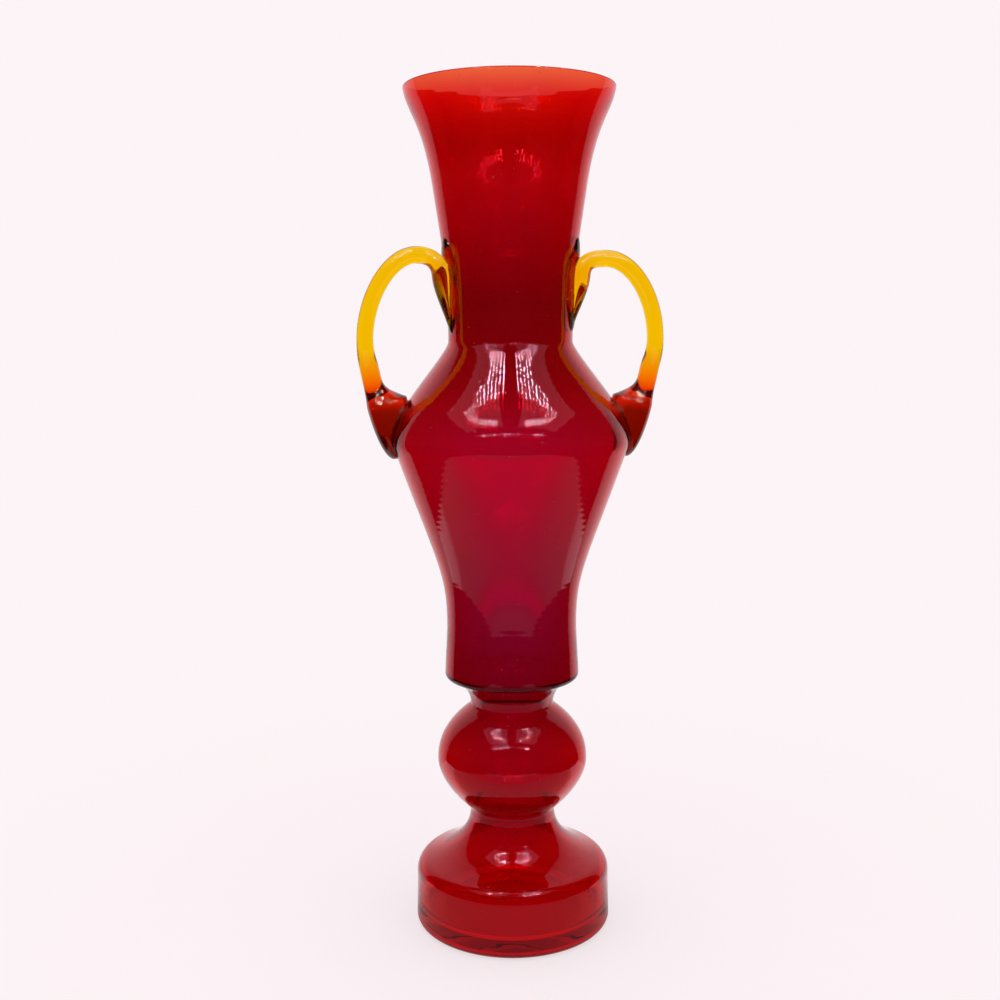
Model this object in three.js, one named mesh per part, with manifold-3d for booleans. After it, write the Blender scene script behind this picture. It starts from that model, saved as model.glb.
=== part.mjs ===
// A two-handled glass vase: one blown body with a foot, a knop, a bowl and a trumpet neck,
// and two drawn handles that were pressed on while hot.
// Millimetres, +Z up, origin on the surface that the foot stands on, handles along X.
// Every pull is the length of a curve's handle at that end, and every turn is in degrees.
import * as THREE from 'three';
import { mergeVertices } from 'three/addons/utils/BufferGeometryUtils.js';
import Module from 'manifold-3d';

const wasm = await Module();
wasm.setup();

// Driving dimensions of the body, from the foot up
const foot = {
  radius: 53.6, edge: 4.2, topRadius: 53, sideHeight: 28.4, shoulderArc: 7.9, shoulderTurn: 66.9,
  flankPull: 18.5, height: 64.8, ringWidth: 10.4, kick: 3, floor: 8, innerArc: 6,
};
const lowerWaist = { radius: 23, belowPull: 12.5, abovePull: 1.2 };
const knop = { radius: 40.9, lowerHeight: 28.4, upperHeight: 30.2, lowerPull: 14.9, upperPull: 16.8 };
const upperWaist = { radius: 22.4, belowPull: 4, abovePull: 9 };
const heel = { radius: 36.3, height: 17.7, arc: 2.6, turn: 76.6, innerPull: 9.4 };
const bowl = { radius: 35.1, height: 25.9, pull: 4 };
const cone = { height: 104.5, turn: 19.4, lowPull: 30, highPull: 65.5 };
const shoulder = {
  radius: 63.2, cornerOut: 1.8, below: 6.8, above: 15.4, turn: 34.9, pull: 23.7, neckPull: 5.2,
};
const neck = { radius: 32.9, rootRise: 48.9, height: 78.7, pull: 37.6, endPull: 24.7 };
const flare = { radius: 40.2, turn: 8.3, height: 50.9, pull: 34.2 };
const rim = { radius: 55, turn: 5.3, pull: 12 };

// Thickness of the blown wall from the foot up, and the play between pieces that touch
const wall = { foot: 4.6, stem: 3.8, heel: 3.2, bowl: 2.8, shoulder: 3, neck: 4.2, rim: 2.8, lip: 1.3 };
const rimBelow = 20;
const gap = 0.3;

// Driving dimensions that both handles share, along the rod from the tip on the neck to the shoulder
const rod = { radius: 4.4 };
const tail = { tipWidth: 2.3, tipThickness: 0.5, tipOut: 2.3, tipUp: 9, halfWidth: 6.8 };
const bend = { rise: 33.7, offset: 4.2, out: 0.6, up: 8 };
const loop = {
  reach: 13.4, apexInset: 13.2, widestHeight: 50, topIn: 6.3, topOut: 15.2, side: 19, sideBelow: 8,
};
const throat = {
  rise: 31.1, inset: 2.2, outer: 4.5, inner: 5.7, halfWidth: 5.5,
  arrive: { x: -1.5, y: -8 }, leave: { x: -1.2, y: -6 },
};
const gather = {
  rise: 16, offset: 7.5, outer: 5.9, inner: 16, halfWidth: 11.5,
  arrive: { x: -2, y: -7 }, leave: { x: -2, y: -9 },
};
const gatherEnd = { drop: 12.7, outer: 0.6, inner: 4.2, halfWidth: 3.1, arrive: { x: -3.5, y: -7 } };
const neckPad = { centreRise: 29, halfHeight: 24, halfWidth: 10, thickness: 2.4 };
const shoulderPad = { centreRise: 3.1, halfHeight: 15.5, halfWidth: 14.7, thickness: 1.6 };

// A loop lies between the fronts of its two ends: how far along it has come at three places
const leanShare = { apex: 0.3, widest: 0.7, throat: 0.9 };

// What sets the two apart: how far the ends lie towards the front, and how high tip, loop and gather sit
const handles = [
  { name: 'handle_right', side: 1, neckTurn: 14, shoulderTurn: -6.5, tipRise: 5.5, loopRise: 42.3, lift: 0 },
  { name: 'handle_left', side: -1, neckTurn: 21, shoulderTurn: 3, tipRise: 4, loopRise: 44.4, lift: 0 },
];

// Heights that follow from them
const knopTop = foot.height + knop.lowerHeight + knop.upperHeight;
const heelHeight = knopTop + heel.height;
const bowlHeight = heelHeight + bowl.height;
const shoulderHeight = bowlHeight + cone.height;
const neckRoot = shoulderHeight + neck.rootRise;
const flareHeight = neckRoot + neck.height;
const vaseHeight = flareHeight + flare.height;

// How much of the way to a rounded corner its curve's handles reach
const softening = 0.64;
const bodyFacets = 44;
const rodFacets = 14;
const radians = (degrees) => degrees * Math.PI / 180;
const point = (r, z) => new THREE.Vector2(r, z);

function cubic(start, startPull, endPull, end) {
  return new THREE.CubicBezierCurve(start, start.clone().add(startPull), end.clone().sub(endPull), end);
}

const bezier = (start, startPull, endPull, end, steps) => (
  cubic(start, startPull, endPull, end).getPoints(steps).slice(1)
);

function arc(centre, radius, from, to, steps) {
  const points = [];
  for (let i = 0; i <= steps; i += 1) {
    const angle = radians(from + (to - from) * i / steps);
    points.push(point(centre.x + radius * Math.cos(angle), centre.y + radius * Math.sin(angle)));
  }
  return points;
}

const up = (length) => point(0, length);

// A step along an outline that rises, once it has turned inwards by some degrees
function heading(turn, length) {
  return point(-length * Math.sin(radians(turn)), length * Math.cos(radians(turn)));
}

function footOutline() {
  const edge = arc(point(foot.radius - foot.edge, foot.edge), foot.edge, -90, 0, 4);
  const topCentre = point(foot.topRadius - foot.shoulderArc, foot.sideHeight);
  const top = arc(topCentre, foot.shoulderArc, 0, foot.shoulderTurn, 5);
  const waist = point(lowerWaist.radius, foot.height);
  const inward = heading(foot.shoulderTurn, foot.flankPull);
  return [...edge, ...top, ...bezier(top.at(-1), inward, up(lowerWaist.belowPull), waist, 5)];
}

function knopOutline() {
  const low = point(lowerWaist.radius, foot.height);
  const middle = point(knop.radius, foot.height + knop.lowerHeight);
  const high = point(upperWaist.radius, knopTop);
  return [
    ...bezier(low, up(lowerWaist.abovePull), up(knop.lowerPull), middle, 5),
    ...bezier(middle, up(knop.upperPull), up(upperWaist.belowPull), high, 5),
  ];
}

function bowlOutline() {
  const waist = point(upperWaist.radius, knopTop);
  const turn = arc(point(heel.radius - heel.arc, heelHeight), heel.arc, -heel.turn, 0, 3);
  const narrow = point(bowl.radius, bowlHeight);
  const corner = point(shoulder.radius + shoulder.cornerOut, shoulderHeight);
  const below = corner.clone().sub(heading(-cone.turn, shoulder.below));
  const above = corner.clone().add(heading(shoulder.turn, shoulder.above));
  const [softBelow, softAbove] = [shoulder.below * softening, shoulder.above * softening];
  const root = point(neck.radius, neckRoot);
  return [
    ...bezier(waist, up(upperWaist.abovePull), heading(-heel.turn, heel.innerPull), turn[0], 5),
    ...turn.slice(1),
    ...bezier(turn.at(-1), up(bowl.pull), up(bowl.pull), narrow, 2),
    ...bezier(narrow, up(cone.lowPull), heading(-cone.turn, cone.highPull), below, 5),
    ...bezier(below, heading(-cone.turn, softBelow), heading(shoulder.turn, softAbove), above, 6),
    ...bezier(above, heading(shoulder.turn, shoulder.pull), up(shoulder.neckPull), root, 5),
  ];
}

function neckOutline() {
  const root = point(neck.radius, neckRoot);
  const middle = point(flare.radius, flareHeight);
  const lip = point(rim.radius, vaseHeight - wall.lip / 2);
  return [
    ...bezier(root, up(neck.pull), heading(-flare.turn, neck.endPull), middle, 4),
    ...bezier(middle, heading(-flare.turn, flare.pull), heading(-rim.turn, rim.pull), lip, 6),
  ];
}

const outer = [...footOutline(), ...knopOutline(), ...bowlOutline(), ...neckOutline()];

const blend = (from, to, share) => from + (to - from) * share;
const smooth = (t) => t * t * (3 - 2 * t);

// Thickness of the wall at a height, eased between the heights where it is set
const wallStations = [
  { height: foot.sideHeight, thickness: wall.foot },
  { height: foot.height, thickness: wall.stem },
  { height: knopTop, thickness: wall.stem },
  { height: heelHeight, thickness: wall.heel },
  { height: bowlHeight, thickness: wall.bowl },
  { height: shoulderHeight, thickness: wall.shoulder },
  { height: neckRoot, thickness: wall.neck },
  { height: vaseHeight - rimBelow, thickness: wall.rim },
  { height: vaseHeight, thickness: wall.lip },
];

function wallAt(height) {
  const next = wallStations.findIndex((station) => station.height >= height);
  if (next < 1) return wallStations.at(next).thickness;
  const [low, high] = [wallStations[next - 1], wallStations[next]];
  return blend(low.thickness, high.thickness, smooth((height - low.height) / (high.height - low.height)));
}

// The outline moved along its own normals by distance(height), outwards for a positive one
function offsetOutline(points, distance) {
  return points.map((here, i) => {
    const before = points[Math.max(i - 1, 0)];
    const after = points[Math.min(i + 1, points.length - 1)];
    const along = after.clone().sub(before).normalize();
    const reach = distance(here.y);
    return point(here.x + along.y * reach, here.y - along.x * reach);
  });
}

// Where the wall is thicker than an outer rounding, its inside would fold back, so that point is left out
function innerOutline() {
  const low = foot.floor + foot.innerArc;
  const walls = offsetOutline(outer, (height) => -wallAt(height));
  const rising = [];
  for (const here of walls) {
    if (here.y > Math.max(low, rising.at(-1)?.y ?? low)) rising.push(here);
  }
  const corner = point(rising[0].x - foot.innerArc, low);
  return [point(0, foot.floor), ...arc(corner, foot.innerArc, -90, 0, 3), ...rising.slice(0, -1)];
}

function radiusAt(height) {
  for (let i = 1; i < outer.length; i += 1) {
    const [low, high] = [outer[i - 1], outer[i]];
    if (height >= low.y && height <= high.y) {
      return blend(low.x, high.x, (height - low.y) / (high.y - low.y));
    }
  }
  throw new Error(`no outline at height ${height}`);
}

// A closed mesh with shared vertices whose faces point out
function solid(geometry) {
  geometry.deleteAttribute('normal');
  geometry.deleteAttribute('uv');
  const merged = mergeVertices(geometry, 1e-4);
  const position = merged.getAttribute('position');
  const triangles = [];
  let volume = 0;
  const [a, b, c] = [new THREE.Vector3(), new THREE.Vector3(), new THREE.Vector3()];
  for (let i = 0; i < merged.index.count; i += 3) {
    const corners = [0, 1, 2].map((k) => merged.index.getX(i + k));
    if (new Set(corners).size < 3) continue;
    a.fromBufferAttribute(position, corners[0]);
    b.fromBufferAttribute(position, corners[1]);
    c.fromBufferAttribute(position, corners[2]);
    volume += a.dot(b.cross(c));
    triangles.push(corners);
  }
  if (volume < 0) triangles.forEach((corners) => corners.reverse());
  merged.setIndex(triangles.flat());
  return merged;
}

function toManifold(geometry) {
  const merged = solid(geometry);
  return new wasm.Manifold(new wasm.Mesh({
    numProp: 3,
    vertProperties: new Float32Array(merged.getAttribute('position').array),
    triVerts: new Uint32Array(merged.index.array),
  }));
}

function fromManifold(body) {
  const mesh = body.getMesh();
  const geometry = new THREE.BufferGeometry();
  geometry.setAttribute('position', new THREE.BufferAttribute(mesh.vertProperties, 3));
  geometry.setIndex(new THREE.BufferAttribute(mesh.triVerts, 1));
  return geometry;
}

const revolve = (points) => new THREE.LatheGeometry(points, bodyFacets).rotateX(Math.PI / 2);

function vaseBody() {
  const half = wall.lip / 2;
  const lip = arc(point(outer.at(-1).x - half, vaseHeight - half), half, 0, 180, 4);
  const ringInside = foot.radius - foot.edge - foot.ringWidth;
  const third = ringInside / 3;
  const hollow = bezier(
    point(ringInside, 0), point(-third, foot.kick), point(-third, 0), point(0, foot.kick), 4,
  );
  const underside = [point(ringInside, 0), ...hollow].reverse();
  return solid(revolve([...underside, ...outer, ...lip.slice(1), ...innerOutline().reverse()]));
}

// Everything inside the body's outer surface, grown by the gap that touching glass keeps
function bodyEnvelope() {
  const touched = outer.filter((p) => p.y > bowlHeight && p.y < vaseHeight - rimBelow);
  const grown = offsetOutline(touched, () => gap);
  return toManifold(revolve([point(0, grown[0].y), ...grown, point(0, grown.at(-1).y)]));
}

// A closed skin over rings of equal count, with a fan over each end
function loft(rings) {
  const count = rings[0].length;
  const centre = (ring) => ring.reduce((sum, p) => sum.add(p), new THREE.Vector3()).divideScalar(count);
  const points = [...rings.flat(), centre(rings[0]), centre(rings.at(-1))];
  const [firstCentre, lastCentre] = [points.length - 2, points.length - 1];
  const lastRing = (rings.length - 1) * count;
  const index = [];
  for (let k = 0; k < count; k += 1) {
    const next = (k + 1) % count;
    for (let i = 0; i < rings.length - 1; i += 1) {
      const [low, high] = [i * count, (i + 1) * count];
      index.push(low + k, low + next, high + next, low + k, high + next, high + k);
    }
    index.push(firstCentre, next, k, lastCentre, lastRing + k, lastRing + next);
  }
  const geometry = new THREE.BufferGeometry().setFromPoints(points);
  geometry.setIndex(index);
  return geometry;
}

// One ring round a point of a handle's path: outer and inner are its reach to each side along the normal.
// Its width is bent round the axis of the vase, and turn is how far it lies towards the front.
function ring({ side }, turn, centre, normal, { outer: out, inner, halfWidth }) {
  const points = [];
  for (let k = 0; k < rodFacets; k += 1) {
    const angle = 2 * Math.PI * k / rodFacets;
    const reach = Math.cos(angle) * (Math.cos(angle) > 0 ? out : inner);
    const r = centre.x + normal.x * reach;
    const azimuth = halfWidth * Math.sin(angle) / r - radians(turn);
    points.push(new THREE.Vector3(
      side * r * Math.cos(azimuth), r * Math.sin(azimuth), centre.y + normal.y * reach,
    ));
  }
  return points;
}

// The path of a handle in the plane of its loop, from the tip of its tail to the end of its gather.
// Each station has the curve's pull on both sides of it and the size of the glass there.
function handleStations({ tipRise, loopRise, lift, neckTurn, shoulderTurn }) {
  const round = { outer: rod.radius, inner: rod.radius, halfWidth: rod.radius };
  const tip = point(radiusAt(neckRoot + tipRise) - gap, neckRoot + tipRise);
  const knee = point(radiusAt(neckRoot + bend.rise) + bend.offset, neckRoot + bend.rise);
  const apex = point(shoulder.radius - loop.apexInset, neckRoot + loopRise);
  const base = shoulderHeight + lift;
  const widest = point(shoulder.radius + loop.reach, shoulderHeight + loop.widestHeight);
  const narrow = point(widest.x - throat.inset, base + throat.rise);
  const top = point(shoulder.radius + gather.offset, base + gather.rise);
  const end = point(radiusAt(base - gatherEnd.drop), base - gatherEnd.drop);
  const pull = ({ x, y }) => point(x, y);
  const turnAt = (share) => blend(neckTurn, shoulderTurn, share);
  return [
    {
      at: tip, turn: neckTurn, leave: point(tail.tipOut, tail.tipUp),
      size: { outer: gap, inner: tail.tipThickness, halfWidth: tail.tipWidth },
    },
    {
      at: knee, turn: neckTurn, arrive: point(bend.out, bend.up), leave: point(bend.out, bend.up), steps: 6,
      size: { outer: rod.radius, inner: rod.radius, halfWidth: tail.halfWidth },
    },
    {
      at: apex, turn: turnAt(leanShare.apex),
      arrive: point(loop.topIn, 0), leave: point(loop.topOut, 0), steps: 7, size: round,
    },
    {
      at: widest, turn: turnAt(leanShare.widest),
      arrive: point(0, -loop.side), leave: point(0, -loop.sideBelow), steps: 9, size: round,
    },
    {
      at: narrow, turn: turnAt(leanShare.throat),
      arrive: pull(throat.arrive), leave: pull(throat.leave), steps: 4, size: throat,
    },
    {
      at: top, turn: shoulderTurn,
      arrive: pull(gather.arrive), leave: pull(gather.leave), steps: 5, late: true, size: gather,
    },
    {
      at: end, turn: shoulderTurn,
      arrive: pull(gatherEnd.arrive), steps: 7, closing: true, size: gatherEnd,
    },
  ];
}

// How far a stretch has gone from the size at its start to the size at its end
function shareOf(station, t) {
  if (station.closing) return 1 - Math.sqrt(1 - t ** 4);
  return station.late ? t ** 3 : smooth(t);
}

function drawnRod(spec) {
  const stations = handleStations(spec);
  const rings = [];
  stations.slice(1).forEach((to, s) => {
    const from = stations[s];
    const curve = cubic(from.at, from.leave, to.arrive, to.at);
    for (let i = s === 0 ? 0 : 1; i <= to.steps; i += 1) {
      const t = i / to.steps;
      const along = curve.getTangent(t);
      const size = {};
      for (const key of ['outer', 'inner', 'halfWidth']) {
        size[key] = blend(from.size[key], to.size[key], shareOf(to, t));
      }
      const turn = blend(from.turn, to.turn, smooth(t));
      rings.push(ring(spec, turn, curve.getPoint(t), point(-along.y, along.x), size));
    }
  });
  return toManifold(loft(rings));
}

// The thin tongue of glass that a pressed end spreads over the body, sunk in it by twice the gap
function tongue(spec, turn, height, { halfHeight, halfWidth, thickness }) {
  const rings = [];
  const steps = 12;
  const thinnest = 0.05;
  for (let i = 0; i <= steps; i += 1) {
    const place = -Math.cos(Math.PI * i / steps);
    const share = Math.max(Math.sqrt(1 - place * place), thinnest);
    const level = height + halfHeight * place;
    const size = { outer: thickness * share, inner: 2 * gap, halfWidth: halfWidth * share };
    rings.push(ring(spec, turn, point(radiusAt(level), level), point(1, 0), size));
  }
  return toManifold(loft(rings));
}

function handle(spec) {
  const neckHeight = neckRoot + neckPad.centreRise;
  const shoulderPadHeight = shoulderHeight + spec.lift + shoulderPad.centreRise;
  const onNeck = tongue(spec, spec.neckTurn, neckHeight, neckPad);
  const onShoulder = tongue(spec, spec.shoulderTurn, shoulderPadHeight, shoulderPad);
  return drawnRod(spec).add(onNeck).add(onShoulder).subtract(bodyEnvelope());
}

const ruby = new THREE.MeshStandardMaterial({
  name: 'ruby_glass', color: 0xa80018, roughness: 0.05, metalness: 0, transparent: true, opacity: 0.6,
});
const amber = new THREE.MeshStandardMaterial({
  name: 'amber_glass', color: 0xffae00, roughness: 0.05, metalness: 0, transparent: true, opacity: 0.6,
});

function named(name, geometry, material) {
  const mesh = new THREE.Mesh(geometry, material);
  mesh.name = name;
  return mesh;
}

const vase = new THREE.Group();
vase.add(named('vase_body', vaseBody(), ruby));
for (const spec of handles) vase.add(named(spec.name, fromManifold(handle(spec)), amber));

export default vase;
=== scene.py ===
"""A two-handled blown glass vase: ruby body, amber handles, on a pale floor.

Laid out as an add-on. Sizes are metres, +Z up, the axis of the vase on Z and the handles along X.
"""
import math

import bpy
from mathutils import Matrix, Vector


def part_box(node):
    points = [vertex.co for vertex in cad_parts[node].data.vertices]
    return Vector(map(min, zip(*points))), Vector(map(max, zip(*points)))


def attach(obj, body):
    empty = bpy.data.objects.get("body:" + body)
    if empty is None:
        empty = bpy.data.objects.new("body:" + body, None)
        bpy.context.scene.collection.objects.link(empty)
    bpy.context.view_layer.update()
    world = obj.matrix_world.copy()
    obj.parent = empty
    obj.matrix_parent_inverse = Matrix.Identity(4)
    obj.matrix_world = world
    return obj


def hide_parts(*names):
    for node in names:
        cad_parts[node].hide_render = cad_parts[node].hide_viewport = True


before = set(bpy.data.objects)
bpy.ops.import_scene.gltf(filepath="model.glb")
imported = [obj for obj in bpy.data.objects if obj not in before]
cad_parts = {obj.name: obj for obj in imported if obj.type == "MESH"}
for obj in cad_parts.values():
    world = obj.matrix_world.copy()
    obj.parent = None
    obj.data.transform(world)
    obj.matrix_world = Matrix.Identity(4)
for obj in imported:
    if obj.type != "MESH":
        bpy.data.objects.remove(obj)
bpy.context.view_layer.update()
BODY_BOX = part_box("vase_body")

bl_info = {
    "name": "Two-Handled Glass Vase",
    "version": (1, 0, 0),
    "blender": (4, 5, 0),
    "location": "3D View > Sidebar > Vase",
    "description": "Builds a blown glass vase with two drawn handles, and a plain studio round it",
    "category": "Add Mesh",
}

MM = 0.001
CONTACT = 0.08 * MM
GAP = 0.3 * MM
VASE_HEIGHT = BODY_BOX[1][2]
SHOULDER_RADIUS = BODY_BOX[1][0] - 0.00001
BODY_SIDES = 192

# Lean of the body's outline in degrees: on the foot, the heel, both slopes of the shoulder, the flare, the lip
FOOT_TURN = 66.8
HEEL_TURN = 70
CONE_TURN = 19.4
SLOPE_TURN = 30
FLARE_TURN = 8.2
LIP_TURN = 9

# Depth of the skin's detail: tool rings, soft unevenness and grains of dust
BODY_RINGS = 0.01 * MM
HANDLE_RINGS = 0.002 * MM
SWELL_DEPTH = 0.2 * MM
GRAIN_DEPTH = 0.1 * MM

# The white sheet under and behind the vase, as the glass sees it; the floor's share of it shows in the glass's
# mirror image as a painted reflection, tinted red and dimmed in bands
FLOOR_REACH = 4.0
SHEET_SIDE = 0.385
SHEET_FRONT = -0.62
SHEET_BACK = 0.19
SHEET_TOP = 0.8
SHEET_EDGE = 0.008

# The ring of lights above its front half, as name, place, size, rows of dots, angle and brightness
RING_HEIGHT = 0.56
RING_LIGHTS = [
    ("_back", 0.1, -0.125, (0.15, 0.05), (9, 3), 0, 9),
    ("_side", 0.205, -0.18, (0.075, 0.1), (4, 5), 0, 4),
    ("_fore", 0.155, -0.262, (0.16, 0.05), (9, 3), 30, 12),
]

# The camera: place, turn, pitch and roll in degrees, and focal length as a share of the frame's width
CAMERA_PLACE = (0, -0.6648, 0.328)
CAMERA_TURN = 0.515
CAMERA_PITCH = -7.916
CAMERA_ROLL = -0.32
FOCAL_SHARE = 1.2466

# Tints by height in millimetres, on top of what the thickness of the glass absorbs
RUBY_TINTS = [
    (0, (0.6, 1.0, 1.0)),
    (12, (0.62, 1.0, 1.0)),
    (46, (0.62, 1.0, 1.0)),
    (61, (0.44, 1.0, 1.0)),
    (75, (0.54, 1.0, 1.0)),
    (89, (0.64, 1.0, 1.0)),
    (102, (0.6, 1.0, 1.0)),
    (113, (0.46, 1.0, 1.0)),
    (128, (0.42, 1.0, 1.0)),
    (150, (0.45, 1.0, 1.0)),
    (170, (0.48, 1.0, 1.0)),
    (203, (0.52, 1.0, 1.0)),
    (236, (0.6, 1.0, 1.0)),
    (262, (0.65, 1.0, 1.0)),
    (270, (0.6, 1.0, 1.0)),
    (287, (0.57, 1.0, 0.9)),
    (300, (0.51, 1.0, 0.95)),
    (320, (0.47, 0.95, 0.9)),
    (342, (0.45, 0.95, 0.85)),
    (373, (0.57, 0.95, 0.75)),
    (403, (0.68, 0.95, 0.5)),
    (428, (0.66, 0.7, 0.16)),
    (438, (0.8, 0.4, 0.12)),
    (450, (0.95, 0.6, 0.12)),
]
HANDLES = {
    "handle_right": {
        "side": 1, "neck_lean": 14, "shoulder_lean": -6.5, "tip_rise": 5.5, "loop_rise": 42.3, "lift": 0
    },
    "handle_left": {
        "side": -1, "neck_lean": 21, "shoulder_lean": 3, "tip_rise": 4, "loop_rise": 44.4, "lift": 0
    },
}
# Tints of the handles by height in millimetres: the amber turning red towards the gather is the glass's own
# colour, and the near black-red low on the gather is painted shade
AMBER_TINTS = [
    (258, (0.16, 0.01, 0.03)),
    (284, (0.25, 0.015, 0.03)),
    (290, (0.8, 0.04, 0.1)),
    (295, (1.0, 0.14, 0.3)),
    (303, (1.0, 0.5, 0.6)),
    (316, (1.0, 1.0, 1.0)),
]


def length(name, description, millimetres):
    """A size that a user would change, in metres."""
    return bpy.props.FloatProperty(
        name=name, description=description, default=millimetres * MM, unit="LENGTH", precision=4
    )


def colour(name, description, value):
    """A colour that a user would change."""
    return bpy.props.FloatVectorProperty(
        name=name, description=description, default=value, size=3, min=0, max=1, subtype="COLOR"
    )


def absorption(name, description, value):
    """How strongly a glass absorbs, which a user would change."""
    return bpy.props.FloatVectorProperty(
        name=name, description=description, default=value, size=3, min=0, max=5000
    )


class VaseSizes(bpy.types.PropertyGroup):
    """Sizes of the blown body."""

    lip_wall: length("Lip wall", "Thickness of the wall at the lip", 1.3)
    rim_wall: length("Rim wall", "Thickness of the wall a little below the lip", 2.8)
    neck_wall: length("Neck wall", "Thickness of the wall at the root of the neck", 4.2)
    shoulder_wall: length("Shoulder wall", "Thickness of the wall at the shoulder", 3.0)
    bowl_wall: length("Bowl wall", "Thickness of the wall low on the bowl", 2.8)
    heel_wall: length("Heel wall", "Thickness of the wall at the heel of the bowl", 3.2)
    stem_wall: length("Stem wall", "Thickness of the wall from the ball down to the lower waist", 3.8)
    foot_wall: length("Foot wall", "Thickness of the foot's side", 4.6)
    foot_radius: length("Foot radius", "Outer radius of the foot where it stands", 53.6)
    foot_edge: length("Foot edge", "Rounding of the foot's lower edge", 4.2)
    foot_top_radius: length("Foot top radius", "Radius of the foot's side just below its shoulder", 53.2)
    foot_side: length("Foot side", "Height of the foot's upright side", 28.7)
    foot_arc: length("Foot shoulder", "Rounding of the foot's shoulder", 8.3)
    foot_height: length("Foot height", "Height of the lower waist", 64.8)
    ring_width: length("Standing ring", "Width of the flat ring that the vase stands on", 10.4)
    kick: length("Kick", "Depth of the hollow under the foot", 3)
    floor: length("Inside floor", "Height of the inside floor", 8)
    lower_waist: length("Lower waist", "Radius between foot and ball", 23.1)
    ball_radius: length("Ball radius", "Radius of the ball in the stem", 41)
    ball_lower: length("Ball lower half", "Height of the ball below its widest line", 28.4)
    ball_upper: length("Ball upper half", "Height of the ball above its widest line", 30.2)
    upper_waist: length("Upper waist", "Radius between ball and bowl", 22.6)
    heel_radius: length("Heel radius", "Radius low on the bowl", 36.5)
    heel_height: length("Heel height", "Height of the heel above the upper waist", 17.7)
    heel_arc: length("Heel edge", "Rounding of the heel's edge", 2.9)
    bowl_radius: length("Bowl radius", "Radius where the bowl is narrowest", 35.2)
    bowl_rise: length("Bowl rise", "Height from the heel to the narrowest line", 25.9)
    cone_height: length("Cone height", "Height from the narrowest line to the shoulder", 104.5)
    corner_out: length("Shoulder corner", "How far the slopes' corner lies outside the rounded shoulder", 1.8)
    shoulder_below: length("Rounding below", "Length of the shoulder's rounding below its corner", 7.6)
    shoulder_above: length("Rounding above", "Length of the shoulder's rounding above its corner", 15)
    neck_rise: length("Neck rise", "Height from the shoulder to the root of the neck", 48.9)
    neck_radius: length("Neck radius", "Radius at the root of the neck", 32.9)
    neck_height: length("Neck height", "Height of the neck's slender stretch", 78.7)
    flare_radius: length("Flare radius", "Radius where the neck begins to flare", 40.1)
    rim_radius: length("Rim radius", "Outer radius of the mouth", 55)


class HandleSizes(bpy.types.PropertyGroup):
    """Sizes of the two drawn handles."""

    rod: length("Rod radius", "Radius of the drawn rod", 4.4)
    reach: length("Reach", "How far the rod stands out past the shoulder", 13.4)
    apex_inset: length("Top inset", "How far the loop's top lies inside the shoulder's radius", 13.2)
    widest_height: length("Widest height", "Height of the loop's widest point above the shoulder", 50)
    bend_rise: length("Bend rise", "Height of the bend over the neck's root", 33.7)
    bend_offset: length("Bend offset", "How far the rod's middle lies off the neck at the bend", 4.2)
    tail_half: length("Tail half width", "Half width of the tail on the neck", 6.8)
    throat_rise: length("Throat rise", "Height above the shoulder where the rod begins to widen", 31.1)
    gather_half: length("Gather half width", "Half width of the gather on the shoulder", 11.5)
    gather_rise: length("Gather rise", "Height of the gather's top above the shoulder", 16)
    gather_offset: length("Gather offset", "How far the rod lies outside the shoulder there", 7.5)
    gather_drop: length("Gather drop", "How far the gather reaches below the shoulder", 12.7)
    pad_rise: length("Pad rise", "Height of the pressed pad's middle above the neck's root", 29)
    pad_length: length("Pad half length", "Half the height of the pressed pad", 24)
    pad_half: length("Pad half width", "Half width of the pressed pad", 10)
    pad_thickness: length("Pad thickness", "How far the pressed pad stands off the neck", 2.4)


class VaseColours(bpy.types.PropertyGroup):
    """Colours of the glass and the studio."""

    ruby: absorption("Ruby", "What a metre of the body's glass takes of each colour", (11, 1100, 680))
    amber: absorption("Amber", "What a metre of the handles' glass takes of each colour", (2, 62, 900))
    studio: colour("Studio", "Colour of the floor and backdrop", (0.972, 0.904, 0.925))


def turned(degrees, distance):
    """A step along a rising outline that leans inwards by some degrees."""
    angle = math.radians(degrees)
    return Vector((-math.sin(angle), math.cos(angle))) * distance


def bezier(start, start_pull, end_pull, end, steps):
    """Points of a cubic curve after its start, with their tangents' lengths as pulls."""
    one, two = start + start_pull, end - end_pull
    points = []
    for i in range(1, steps + 1):
        t = i / steps
        u = 1 - t
        points.append(u**3 * start + 3 * u * u * t * one + 3 * u * t * t * two + t**3 * end)
    return points


def bezier_tangent(start, start_pull, end_pull, end, t):
    """Unit direction of that curve at t."""
    one, two = start + start_pull, end - end_pull
    u = 1 - t
    way = 3 * u * u * (one - start) + 6 * u * t * (two - one) + 3 * t * t * (end - two)
    return way.normalized()


def arc(centre, radius, start, end, steps):
    """Points of a round stretch, angles in degrees."""
    angles = (math.radians(start + (end - start) * i / steps) for i in range(steps + 1))
    return [centre + radius * Vector((math.cos(a), math.sin(a))) for a in angles]


def heights(s):
    """Heights of the body's landmarks, from the foot up."""
    knop_top = s.foot_height + s.ball_lower + s.ball_upper
    heel = knop_top + s.heel_height
    bowl = heel + s.bowl_rise
    shoulder = bowl + s.cone_height
    neck_root = shoulder + s.neck_rise
    return knop_top, heel, bowl, shoulder, neck_root


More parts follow.
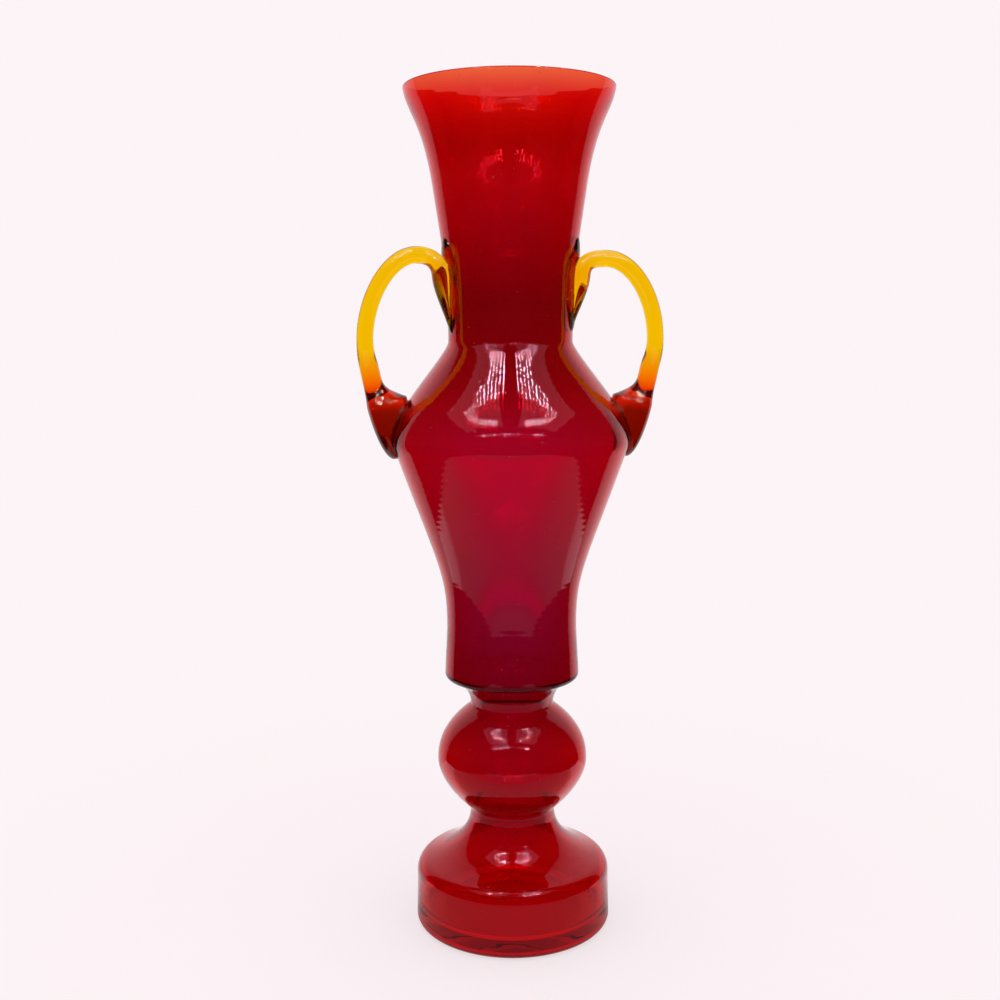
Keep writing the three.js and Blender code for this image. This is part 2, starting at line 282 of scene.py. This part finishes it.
def outer_outline(s):
    """The body's outer outline as (radius, height), from the foot's ring to the lip."""
    knop_top, heel_height, bowl_height, shoulder, neck_root = heights(s)
    up = turned(0, MM)
    edge = arc(Vector((s.foot_radius - s.foot_edge, s.foot_edge)), s.foot_edge, -90, 0, 14)
    foot = arc(Vector((s.foot_top_radius - s.foot_arc, s.foot_side)), s.foot_arc, 0, FOOT_TURN, 20)
    low = Vector((s.lower_waist, s.foot_height))
    equator = Vector((s.ball_radius, s.foot_height + s.ball_lower))
    high = Vector((s.upper_waist, knop_top))
    heel = arc(Vector((s.heel_radius - s.heel_arc, heel_height)), s.heel_arc, -HEEL_TURN, 0, 12)
    bowl = Vector((s.bowl_radius, bowl_height))
    corner = Vector((SHOULDER_RADIUS + s.corner_out, shoulder))
    rounding_below = turned(-CONE_TURN, s.shoulder_below)
    rounding_above = turned(SLOPE_TURN, s.shoulder_above)
    below, above = corner - rounding_below, corner + rounding_above
    neck = Vector((s.neck_radius, neck_root))
    flare = Vector((s.flare_radius, neck_root + s.neck_height))
    lip = Vector((s.rim_radius, VASE_HEIGHT - s.lip_wall / 2))
    return (
        edge
        + foot
        + bezier(foot[-1], turned(FOOT_TURN, 20.5 * MM), 12 * up, low, 30)
        + bezier(low, 0.4 * up, 14.2 * up, equator, 32)
        + bezier(equator, 19.2 * up, 1.5 * up, high, 40)
        + bezier(high, 8.3 * up, turned(-HEEL_TURN, 6.2 * MM), heel[0], 24)
        + heel[1:]
        + bezier(heel[-1], 3.4 * up, 3.4 * up, bowl, 12)
        + bezier(bowl, 30 * up, turned(-CONE_TURN, 68 * MM), below, 50)
        + bezier(below, 0.64 * rounding_below, 0.64 * rounding_above, above, 28)
        + bezier(above, turned(SLOPE_TURN, 13.5 * MM), 4.4 * up, neck, 34)
        + bezier(neck, 37.7 * up, turned(-FLARE_TURN, 24.9 * MM), flare, 34)
        + bezier(flare, turned(-FLARE_TURN, 33.5 * MM), turned(-LIP_TURN, 12.5 * MM), lip, 40)
    )


def offset_outline(points, distance):
    """The outline moved along its own normals by distance(height), outwards for a positive one."""
    moved = []
    for i, here in enumerate(points):
        along = (points[min(i + 1, len(points) - 1)] - points[max(i - 1, 0)]).normalized()
        moved.append(here + distance(here.y) * Vector((along.y, -along.x)))
    return moved


def wall_at(s, height):
    """Thickness of the blown wall, eased between the heights where it is set."""
    stations = wall_stations(s)
    for (low, thin), (high, thick) in zip(stations, stations[1:]):
        if height <= high:
            t = max(0.0, (height - low) / (high - low))
            return thin + (thick - thin) * t * t * (3 - 2 * t)
    return stations[-1][1]


def wall_stations(s):
    """Heights from the foot up, each with the wall's thickness there."""
    knop_top, heel, bowl, shoulder, neck_root = heights(s)
    return [
        (s.foot_side, s.foot_wall),
        (s.foot_height, s.stem_wall),
        (knop_top, s.stem_wall),
        (heel, s.heel_wall),
        (bowl, s.bowl_wall),
        (shoulder, s.shoulder_wall),
        (neck_root, s.neck_wall),
        (VASE_HEIGHT - 20 * MM, s.rim_wall),
        (VASE_HEIGHT, s.lip_wall),
    ]


def inner_walls(s, lowest):
    """The inside of the wall, without the points that fold back where it is thicker than a rounding."""
    rising = []
    for here in offset_outline(outer_outline(s), lambda z: -wall_at(s, z)):
        if here.y > (rising[-1].y if rising else lowest):
            rising.append(here)
    return rising


def radius_at(outline, height):
    """Outer radius of the body at a height."""
    for low, high in zip(outline, outline[1:]):
        if low.y <= height <= high.y and high.y > low.y:
            return low.x + (high.x - low.x) * (height - low.y) / (high.y - low.y)
    raise ValueError(f"no outline at height {height}")


def full_section(s):
    """The whole section of the wall, from the axis below to the axis inside."""
    outer = outer_outline(s)
    half = s.lip_wall / 2
    lip = arc(Vector((outer[-1].x - half, VASE_HEIGHT - half)), half, 0, 180, 12)
    ring = s.foot_radius - s.foot_edge - s.ring_width
    under = [Vector((0, s.kick)), Vector((ring / 2, s.kick * 0.75)), Vector((ring, 0))]
    inner_arc = 6 * MM
    walls = inner_walls(s, s.floor + inner_arc)
    centre = Vector((walls[0].x - inner_arc, s.floor + inner_arc))
    inside = [Vector((0, s.floor))] + arc(centre, inner_arc, -90, 0, 8) + walls[:-1]
    return under + outer + lip[1:] + inside[::-1]


def new_object(name, vertices, faces):
    """A smooth-shaded mesh object in the scene, with its mesh validated."""
    mesh = bpy.data.meshes.new(name)
    mesh.from_pydata(vertices, [], faces)
    mesh.validate()
    mesh.shade_smooth()
    thing = bpy.data.objects.new(name, mesh)
    bpy.context.collection.objects.link(thing)
    return thing


def revolved(name, section, sides):
    """A closed revolved solid whose section starts and ends on the axis."""
    inner = section[1:-1]
    rings = len(inner)
    vertices = [
        (p.x * math.cos(2 * math.pi * k / sides), p.x * math.sin(2 * math.pi * k / sides), p.y)
        for p in inner
        for k in range(sides)
    ]
    start, end = len(vertices), len(vertices) + 1
    vertices += [(0, 0, section[0].y), (0, 0, section[-1].y)]
    faces = []
    for k in range(sides):
        n = (k + 1) % sides
        faces.append((start, n, k))
        faces.append((end, (rings - 1) * sides + k, (rings - 1) * sides + n))
        for i in range(rings - 1):
            a, b = i * sides, (i + 1) * sides
            faces.append((a + k, a + n, b + n, b + k))
    return new_object(name, vertices, faces)


def lofted(name, rings):
    """A closed skin over rings of equal count."""
    count = len(rings[0])
    vertices = [p for ring in rings for p in ring]
    ends = [sum(ring, Vector()) / count for ring in (rings[0], rings[-1])]
    first, last, top = len(vertices), len(vertices) + 1, (len(rings) - 1) * count
    faces = []
    for k in range(count):
        n = (k + 1) % count
        faces.append((first, n, k))
        faces.append((last, top + k, top + n))
        for i in range(len(rings) - 1):
            a, b = i * count, (i + 1) * count
            faces.append((a + k, a + n, b + n, b + k))
    return new_object(name, vertices + ends, faces)


def bent_ring(side, lean, centre, normal, size, sides=40):
    """One ring round a point of a handle's path: size is its reach out and in, and its half width.

    Its width is bent round the axis of the vase, and lean turns it towards the front, in degrees.
    """
    outside, inside, half_width = size
    points = []
    for k in range(sides):
        angle = 2 * math.pi * k / sides
        reach = math.cos(angle) * (outside if math.cos(angle) > 0 else inside)
        radius = centre.x + normal.x * reach
        azimuth = half_width * math.sin(angle) / radius - math.radians(lean)
        height = centre.y + normal.y * reach
        points.append(Vector((side * radius * math.cos(azimuth), radius * math.sin(azimuth), height)))
    return points


def eased(start, stop, share):
    """From start to stop, slowly at both ends."""
    return start + (stop - start) * share * share * (3 - 2 * share)


def handle_rings(s, h, own):
    """Rings of one handle, from the tip of its tail to the end of its gather."""
    outline = outer_outline(s)
    shoulder, neck_root = heights(s)[3:]
    base = shoulder + own["lift"] * MM
    tip_height, bend_height = neck_root + own["tip_rise"] * MM, neck_root + h.bend_rise
    tip = Vector((radius_at(outline, tip_height) - GAP, tip_height))
    bend = Vector((radius_at(outline, bend_height) + h.bend_offset, bend_height))
    apex = Vector((SHOULDER_RADIUS - h.apex_inset, neck_root + own["loop_rise"] * MM))
    widest = Vector((SHOULDER_RADIUS + h.reach, shoulder + h.widest_height))
    throat = Vector((widest.x - 2.2 * MM, base + h.throat_rise))
    top = Vector((SHOULDER_RADIUS + h.gather_offset, base + h.gather_rise))
    end = Vector((radius_at(outline, base - h.gather_drop), base - h.gather_drop))
    up, down = own["neck_lean"], own["shoulder_lean"]
    leans = [up, up] + [up + share * (down - up) for share in (0.3, 0.7, 0.9)] + [down, down]
    stretches = [
        (tip, (2.3, 9), bend, (0.6, 8), 20),
        (bend, (0.6, 8), apex, (6.3, 0), 24),
        (apex, (15.2, 0), widest, (0, -19), 40),
        (widest, (0, -8), throat, (-1.5, -8), 14),
        (throat, (-1.2, -6), top, (-2, -7), 20),
        (top, (-2, -9), end, (-3.5, -7), 28),
    ]
    sizes = [
        (GAP, 0.5 * MM, 2.3 * MM),
        (h.rod, h.rod, h.tail_half),
        (h.rod, h.rod, h.rod),
        (h.rod, h.rod, h.rod),
        (4.5 * MM, 5.7 * MM, 5.5 * MM),
        (5.9 * MM, 16 * MM, h.gather_half),
        (0.6 * MM, 4.2 * MM, 3.1 * MM),
    ]
    rings = []
    for n, (start, pull, stop, arrive, steps) in enumerate(stretches):
        pull, arrive = Vector(pull) * MM, Vector(arrive) * MM
        points = [start] + bezier(start, pull, arrive, stop, steps)
        for i in range(0 if n == 0 else 1, steps + 1):
            t = i / steps
            along = bezier_tangent(start, pull, arrive, stop, t)
            share = (1 - math.sqrt(1 - t**4)) if n == 5 else t**3 if n == 4 else eased(0, 1, t)
            size = [a + (b - a) * share for a, b in zip(sizes[n], sizes[n + 1])]
            lean = eased(leans[n], leans[n + 1], t)
            rings.append(bent_ring(own["side"], lean, points[i], Vector((-along.y, along.x)), size))
    return rings


def apply_boolean(thing, other, operation):
    """Joins or cuts thing with other, which is then removed."""
    modifier = thing.modifiers.new(operation.title(), "BOOLEAN")
    modifier.operation, modifier.object, modifier.solver = operation, other, "EXACT"
    bpy.context.view_layer.update()
    graph = bpy.context.evaluated_depsgraph_get()
    mesh = bpy.data.meshes.new_from_object(thing.evaluated_get(graph))
    thing.modifiers.clear()
    thing.data = mesh
    mesh.shade_smooth()
    bpy.data.objects.remove(other)


def tongue_rings(s, side, lean, middle, half_length, half_width, thickness):
    """Rings of the thin tongue that a pressed end spreads over the body, sunk a little into it."""
    outline = outer_outline(s)
    rings = []
    steps = 36
    for i in range(steps + 1):
        place = -math.cos(math.pi * i / steps)
        share = max(math.sqrt(max(1 - place * place, 0)), 0.05)
        height = middle + half_length * place
        centre = Vector((radius_at(outline, height), height))
        size = (thickness * share, 2 * GAP, half_width * share)
        rings.append(bent_ring(side, lean, centre, Vector((1, 0)), size))
    return rings


def add(tree, kind, inputs=None, **settings):
    """A shader node with its settings; each input is a value or the socket that feeds it."""
    node = tree.nodes.new("ShaderNode" + kind)
    for key, value in settings.items():
        setattr(node, key, value)
    for key, value in (inputs or {}).items():
        if isinstance(value, bpy.types.NodeSocket):
            tree.links.new(value, node.inputs[key])
        else:
            node.inputs[key].default_value = value
    return node


def maths(tree, operation, *values, clamp=False):
    """The result of a sum on numbers or sockets."""
    inputs = dict(enumerate(values))
    return add(tree, "Math", inputs, operation=operation, use_clamp=clamp).outputs[0]


def ramp(tree, factor, stops, **settings):
    """Colours by position, as (position, (r, g, b))."""
    node = add(tree, "ValToRGB", {"Fac": factor})
    elements = node.color_ramp.elements
    while len(elements) < len(stops):
        elements.new(1.0)
    for element, (position, rgb) in zip(elements, stops):
        element.position, element.color = position, (*rgb, 1)
    for key, value in settings.items():
        setattr(node.color_ramp, key, value)
    return node.outputs["Color"]


def by_height(tree, place, tints):
    """Colour that changes with height, from (millimetres, colour) pairs."""
    share = maths(tree, "DIVIDE", add(tree, "SeparateXYZ", {0: place}).outputs["Z"], VASE_HEIGHT)
    stops = [(height * MM / VASE_HEIGHT, rgb) for height, rgb in tints]
    return ramp(tree, share, stops, interpolation="LINEAR")


def glass(name, absorbed, tints, sheen, ring_depth):
    """Clear coloured glass whose colour deepens with its thickness.

    absorbed is what a metre takes from red, green and blue; sheen colours its straight reflections.
    """
    material = bpy.data.materials.new(name)
    material.use_nodes = True
    tree = material.node_tree
    shader = tree.nodes["Principled BSDF"]
    place = add(tree, "TexCoord").outputs["Object"]
    cloud = add(tree, "TexNoise", {"Vector": place, "Scale": 22.0, "Detail": 2.0, "Distortion": 1.5})
    shade = ramp(tree, cloud.outputs["Fac"], [(0.3, (0.95, 0.9, 0.92)), (0.7, (1, 1, 1))])
    inputs = {"Factor": 1.0, 6: by_height(tree, place, tints), 7: shade}
    mixed = add(tree, "Mix", inputs, data_type="RGBA", blend_type="MULTIPLY")
    tree.links.new(mixed.outputs[2], shader.inputs["Base Color"])
    smear = add(tree, "TexNoise", {"Vector": place, "Scale": 60.0, "Detail": 6.0, "Roughness": 0.7})
    span = {"Value": smear.outputs["Fac"], "From Min": 0.4, "From Max": 0.75, "To Min": 0.003, "To Max": 0.03}
    grain = dust(tree, place)
    smooth = add(tree, "MapRange", span).outputs["Result"]
    rough = maths(tree, "MAXIMUM", smooth, maths(tree, "MULTIPLY", grain, 0.55))
    tree.links.new(rough, shader.inputs["Roughness"])
    shader.inputs["IOR"].default_value = 1.5
    shader.inputs["Transmission Weight"].default_value = 1
    shader.inputs["Specular Tint"].default_value = (*sheen, 1)
    strength = max(absorbed) * 1.02
    kept = [1 - part / strength for part in absorbed]
    depth = add(tree, "VolumeAbsorption", {"Color": (*kept, 1), "Density": strength})
    tree.links.new(depth.outputs["Volume"], tree.nodes["Material Output"].inputs["Volume"])
    tree.links.new(skin_bump(tree, place, ring_depth, grain), shader.inputs["Normal"])
    return material


def dust(tree, place):
    """1 on small lonely grains of dust."""
    grains = add(tree, "TexVoronoi", {"Vector": place, "Scale": 260.0})
    lonely = add(tree, "TexNoise", {"Vector": place, "Scale": 90.0})
    size = maths(tree, "MULTIPLY", maths(tree, "SUBTRACT", lonely.outputs["Fac"], 0.6, clamp=True), 1.2)
    return maths(tree, "LESS_THAN", grains.outputs["Distance"], size)


def skin_bump(tree, place, ring_depth, grain):
    """Tool rings, a soft unevenness and the grains of dust, as a bumped normal."""
    rings = add(
        tree,
        "TexWave",
        {"Vector": place, "Scale": 95.0, "Distortion": 3.0, "Detail": 1.0, "Detail Scale": 0.4},
        wave_type="BANDS",
        bands_direction="Z",
    )
    swell = add(tree, "TexNoise", {"Vector": place, "Scale": 35.0, "Detail": 2.0})
    layers = [
        (1.0, ring_depth, rings.outputs["Fac"]),
        (1.0, SWELL_DEPTH, swell.outputs["Fac"]),
        (0.6, GRAIN_DEPTH, grain),
    ]
    inputs = {}
    for strength, depth, height in layers:
        inputs.update({"Strength": strength, "Distance": depth, "Height": height})
        inputs["Normal"] = add(tree, "Bump", inputs).outputs["Normal"]
    return inputs["Normal"]


class VASE_OT_body(bpy.types.Operator):
    """Builds the blown body."""

    bl_idname = "vase.body"
    bl_label = "Blown body"

    def execute(self, context):
        scene = context.scene
        body = revolved("blown_body", full_section(scene.vase_sizes), BODY_SIDES)
        ruby = glass("ruby_glass", scene.vase_colours.ruby, RUBY_TINTS, (1, 0.5, 0.7), BODY_RINGS)
        body.data.materials.append(ruby)
        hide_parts("vase_body")
        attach(body, "root")
        return {"FINISHED"}


class VASE_OT_handles(bpy.types.Operator):
    """Builds the two drawn handles, each leaning in its own way as hand-drawn glass does."""

    bl_idname = "vase.handles"
    bl_label = "Drawn handles"

    def execute(self, context):
        scene = context.scene
        s, h = scene.vase_sizes, scene.handle_sizes
        amber = glass("amber_glass", scene.vase_colours.amber, AMBER_TINTS, (1, 0.9, 0.7), HANDLE_RINGS)
        shoulder, neck_root = heights(s)[3:]
        skin = offset_outline(outer_outline(s), lambda z: -CONTACT)
        grown = [p for p in skin if 0.2 < p.y < VASE_HEIGHT - 20 * MM]
        section = [Vector((0, grown[0].y))] + grown + [Vector((0, grown[-1].y))]
        for name, own in HANDLES.items():
            side, lift = own["side"], own["lift"] * MM
            handle = lofted("drawn_" + name, handle_rings(s, h, own))
            middle = neck_root + h.pad_rise
            pad = tongue_rings(s, side, own["neck_lean"], middle, h.pad_length, h.pad_half, h.pad_thickness)
            apply_boolean(handle, lofted("pad", pad), "UNION")
            middle = shoulder + lift + 3.1 * MM
            flange = tongue_rings(s, side, own["shoulder_lean"], middle, 15.5 * MM, 14.7 * MM, 1.6 * MM)
            apply_boolean(handle, lofted("flange", flange), "UNION")
            apply_boolean(handle, revolved("envelope", section, BODY_SIDES), "DIFFERENCE")
            handle.data.materials.clear()
            handle.data.materials.append(amber)
            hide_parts(name)
            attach(handle, "root")
        return {"FINISHED"}


def ray_kinds(tree):
    """1 where the ray is a mirror image in the glass, and 1 where it comes through the glass."""
    path = add(tree, "LightPath").outputs
    straight = maths(tree, "SUBTRACT", 1.0, path["Is Transmission Ray"])
    return maths(tree, "MULTIPLY", path["Is Glossy Ray"], straight), path["Is Transmission Ray"]


def stepped(tree, value, low, high, start=0.0, stop=1.0):
    """A smooth change from start to stop while the value goes from low to high."""
    inputs = {"Value": value, "From Min": low, "From Max": high, "To Min": start, "To Max": stop}
    return add(tree, "MapRange", inputs, interpolation_type="SMOOTHSTEP").outputs["Result"]


def within(tree, value, low, high, soft):
    """1 where the value lies between low and high, with soft edges."""
    rising = stepped(tree, value, low - soft, low + soft)
    falling = stepped(tree, value, high - soft, high + soft, 1, 0)
    return maths(tree, "MULTIPLY", rising, falling)


def studio_floor(colour):
    """White to the camera; through the glass, a white sheet that ends beside and in front of the vase; in the
    glass's mirror image, a painted reflection of that sheet, tinted red and dimmed in bands.
    """
    material = bpy.data.materials.new("studio_floor")
    material.use_nodes = True
    tree = material.node_tree
    tree.nodes.remove(tree.nodes["Principled BSDF"])
    place = add(tree, "TexCoord").outputs["Object"]
    distance = add(tree, "VectorMath", {0: place}, operation="LENGTH").outputs["Value"]
    paper = add(tree, "BsdfDiffuse", {"Color": (*colour, 1)})
    glow = add(tree, "Emission", {"Color": (*colour, 1)})
    near = stepped(tree, distance, 0.1, 0.5, 0.65, 1.0)
    seen = add(tree, "MixShader", {0: near, 1: paper.outputs[0], 2: glow.outputs[0]})
    across = add(tree, "SeparateXYZ", {0: place}).outputs
    wide = within(tree, across["X"], -SHEET_SIDE, SHEET_SIDE, SHEET_EDGE)
    deep = within(tree, across["Y"], SHEET_FRONT, SHEET_BACK, SHEET_EDGE)
    sheet = maths(tree, "MULTIPLY", wide, deep)
    depth = maths(tree, "ADD", across["Y"], 0.7)
    # Painted reflection: colours of the floor's mirror image in the glass, red-tinted and dimmed in bands from
    # front to back
    bands = [
        (0.1, (0.45, 0.4, 0.4)),
        (0.33, (0.9, 0.22, 0.25)),
        (0.37, (2.2, 0.12, 0.3)),
        (0.43, (2.4, 0.12, 0.3)),
        (0.48, (1.2, 0.2, 0.25)),
        (0.55, (0.5, 0.36, 0.36)),
        (0.7, (0.4, 0.36, 0.36)),
        (0.74, (0.95, 0.9, 0.92)),
    ]
    tint = ramp(tree, depth, bands)
    painted_reflection = add(tree, "Emission", {"Color": tint, "Strength": sheet})
    clear = maths(tree, "MAXIMUM", sheet, 0.95)
    through = add(tree, "Emission", {"Color": (*colour, 1), "Strength": clear})
    mirror, passed = ray_kinds(tree)
    whole = add(tree, "MixShader", {0: passed, 1: seen.outputs[0], 2: through.outputs[0]})
    whole = add(tree, "MixShader", {0: mirror, 1: whole.outputs[0], 2: painted_reflection.outputs[0]})
    tree.links.new(whole.outputs[0], tree.nodes["Material Output"].inputs["Surface"])
    return material


def studio_wall(colour):
    """The white sheet behind the vase, which only the glass sees; its mirror image is dimmer at its sides."""
    material = bpy.data.materials.new("studio_wall")
    material.use_nodes = True
    tree = material.node_tree
    tree.nodes.remove(tree.nodes["Principled BSDF"])
    place = add(tree, "TexCoord").outputs["Object"]
    across = add(tree, "SeparateXYZ", {0: place}).outputs
    share = maths(tree, "DIVIDE", maths(tree, "ABSOLUTE", across["X"]), SHEET_SIDE + 0.02)
    levels = [(0, 1.0), (0.37, 0.8), (0.87, 0.45), (1, 0.28)]
    fading = ramp(tree, share, [(at, (level, level, level)) for at, level in levels])
    passed = ray_kinds(tree)[1]
    inputs = {"Factor": passed, 6: fading, 7: (1, 1, 1, 1)}
    strength = add(tree, "Mix", inputs, data_type="RGBA").outputs[2]
    glow = add(tree, "Emission", {"Color": (*colour, 1), "Strength": strength})
    tree.links.new(glow.outputs[0], tree.nodes["Material Output"].inputs["Surface"])
    return material


def studio_world(colour):
    """A white backdrop for the camera; the room that the glass sees beside and before the vase is dark."""
    world = bpy.data.worlds.new("studio_world")
    world.use_nodes = True
    tree = world.node_tree
    plain = tree.nodes["Background"]
    plain.inputs["Color"].default_value = (*colour, 1)
    mirror, passed = ray_kinds(tree)
    room = add(tree, "Background", {"Color": (*colour, 1), "Strength": 0.02})
    deep = add(tree, "Background", {"Color": (*colour, 1), "Strength": 0.95})
    mix = add(tree, "MixShader", {0: passed, 1: plain.outputs[0], 2: deep.outputs[0]})
    mix = add(tree, "MixShader", {0: mirror, 1: mix.outputs[0], 2: room.outputs[0]})
    tree.links.new(mix.outputs[0], tree.nodes["World Output"].inputs["Surface"])
    return world


def area_lamp(name, place, target, size, radiance, dots=None, angle=0):
    """A rectangular lamp that faces its target, turned by an angle, plain or with rows of bright dots."""
    width, height = size
    data = bpy.data.lights.new(name, "AREA")
    data.shape, data.size, data.size_y = "RECTANGLE", width, height
    data.energy = radiance * math.pi * width * height
    lamp = bpy.data.objects.new(name, data)
    lamp.location = place
    facing = (Vector(target) - Vector(place)).to_track_quat("-Z", "Y").to_matrix()
    lamp.rotation_euler = (facing @ Matrix.Rotation(math.radians(angle), 3, "Z")).to_euler()
    lamp.visible_camera = False
    lamp.visible_diffuse = not dots
    bpy.context.collection.objects.link(lamp)
    if dots:
        data.use_nodes = True
        tree = data.node_tree
        spot = add(tree, "SeparateXYZ", {0: add(tree, "NewGeometry").outputs["Parametric"]}).outputs
        marks = []
        for socket, count, half in ((spot["X"], dots[0], 0.1), (spot["Y"], dots[1], 0.3)):
            cell = maths(tree, "FRACT", maths(tree, "MULTIPLY", socket, float(count)))
            marks.append(maths(tree, "COMPARE", cell, 0.5, half))
        share = maths(tree, "MULTIPLY", *marks)
        strength = maths(tree, "ADD", maths(tree, "MULTIPLY", share, 8.0), 0.05)
        tree.links.new(strength, tree.nodes["Emission"].inputs["Strength"])


class VASE_OT_stage(bpy.types.Operator):
    """Sets the floor, the lamps and the camera."""

    bl_idname = "vase.stage"
    bl_label = "Studio"

    def execute(self, context):
        studio = context.scene.vase_colours.studio
        reach = FLOOR_REACH
        corners = [(-reach, -reach, 0), (reach, -reach, 0), (reach, reach, 0), (-reach, reach, 0)]
        floor = new_object("floor", corners, [(0, 1, 2, 3)])
        floor.data.materials.append(studio_floor(studio))
        side = SHEET_SIDE + 0.02
        outline = ((-side, 0), (side, 0), (side, SHEET_TOP), (-side, SHEET_TOP))
        wall = new_object("wall", [(x, SHEET_BACK, z) for x, z in outline], [(0, 1, 2, 3)])
        wall.data.materials.append(studio_wall(studio))
        wall.visible_camera = wall.visible_diffuse = wall.visible_shadow = False
        context.scene.world = studio_world(studio)
        middle = (0, 0, VASE_HEIGHT / 2)
        area_lamp("top_panel", (0, 0.1, 1.5), middle, (0.8, 0.8), 0.6)
        area_lamp("front_bar", (0, -0.43, 0.525), (0, -0.06, 0.28), (0.6, 0.014), 14, (60, 1))
        for name, side in (("right", 1), ("left", -1)):
            for part, x, y, size, dots, angle, radiance in RING_LIGHTS:
                place = (x * side, y, RING_HEIGHT)
                area_lamp(name + part, place, (x * side, y, 0), size, radiance, dots, angle * side)
            place = (0.2 * side, -0.2, RING_HEIGHT + 0.01)
            area_lamp(name + "_haze", place, (place[0], place[1], 0), (0.3, 0.3), 0.5)
        data = bpy.data.cameras.new("camera")
        data.sensor_width = 36
        data.lens = FOCAL_SHARE * data.sensor_width
        camera = bpy.data.objects.new("camera", data)
        turn = Matrix.Rotation(math.radians(CAMERA_TURN), 4, "Z")
        pitch = Matrix.Rotation(math.radians(90 + CAMERA_PITCH), 4, "X")
        roll = Matrix.Rotation(math.radians(CAMERA_ROLL), 4, "Z")
        camera.matrix_world = Matrix.Translation(CAMERA_PLACE) @ turn @ pitch @ roll
        context.collection.objects.link(camera)
        context.scene.camera = camera
        context.scene.view_settings.view_transform = "Standard"
        cycles = context.scene.cycles
        cycles.max_bounces, cycles.glossy_bounces, cycles.transmission_bounces = 32, 16, 24
        return {"FINISHED"}


class VASE_PT_panel(bpy.types.Panel):
    """Lists the parts of the vase in the sidebar."""

    bl_idname = "VASE_PT_panel"
    bl_label = "Glass Vase"
    bl_space_type = "VIEW_3D"
    bl_region_type = "UI"
    bl_category = "Vase"

    def draw(self, context):
        for operator in STEPS:
            self.layout.operator(operator.bl_idname)


STEPS = (VASE_OT_body, VASE_OT_handles, VASE_OT_stage)
CLASSES = (VaseSizes, HandleSizes, VaseColours, *STEPS, VASE_PT_panel)


def register():
    for cls in CLASSES:
        bpy.utils.register_class(cls)
    bpy.types.Scene.vase_sizes = bpy.props.PointerProperty(type=VaseSizes)
    bpy.types.Scene.handle_sizes = bpy.props.PointerProperty(type=HandleSizes)
    bpy.types.Scene.vase_colours = bpy.props.PointerProperty(type=VaseColours)


def unregister():
    del bpy.types.Scene.vase_colours
    del bpy.types.Scene.handle_sizes
    del bpy.types.Scene.vase_sizes
    for cls in reversed(CLASSES):
        bpy.utils.unregister_class(cls)


def main():
    register()
    bpy.ops.vase.body()
    bpy.ops.vase.handles()
    bpy.ops.vase.stage()


if __name__ == "__main__":
    main()
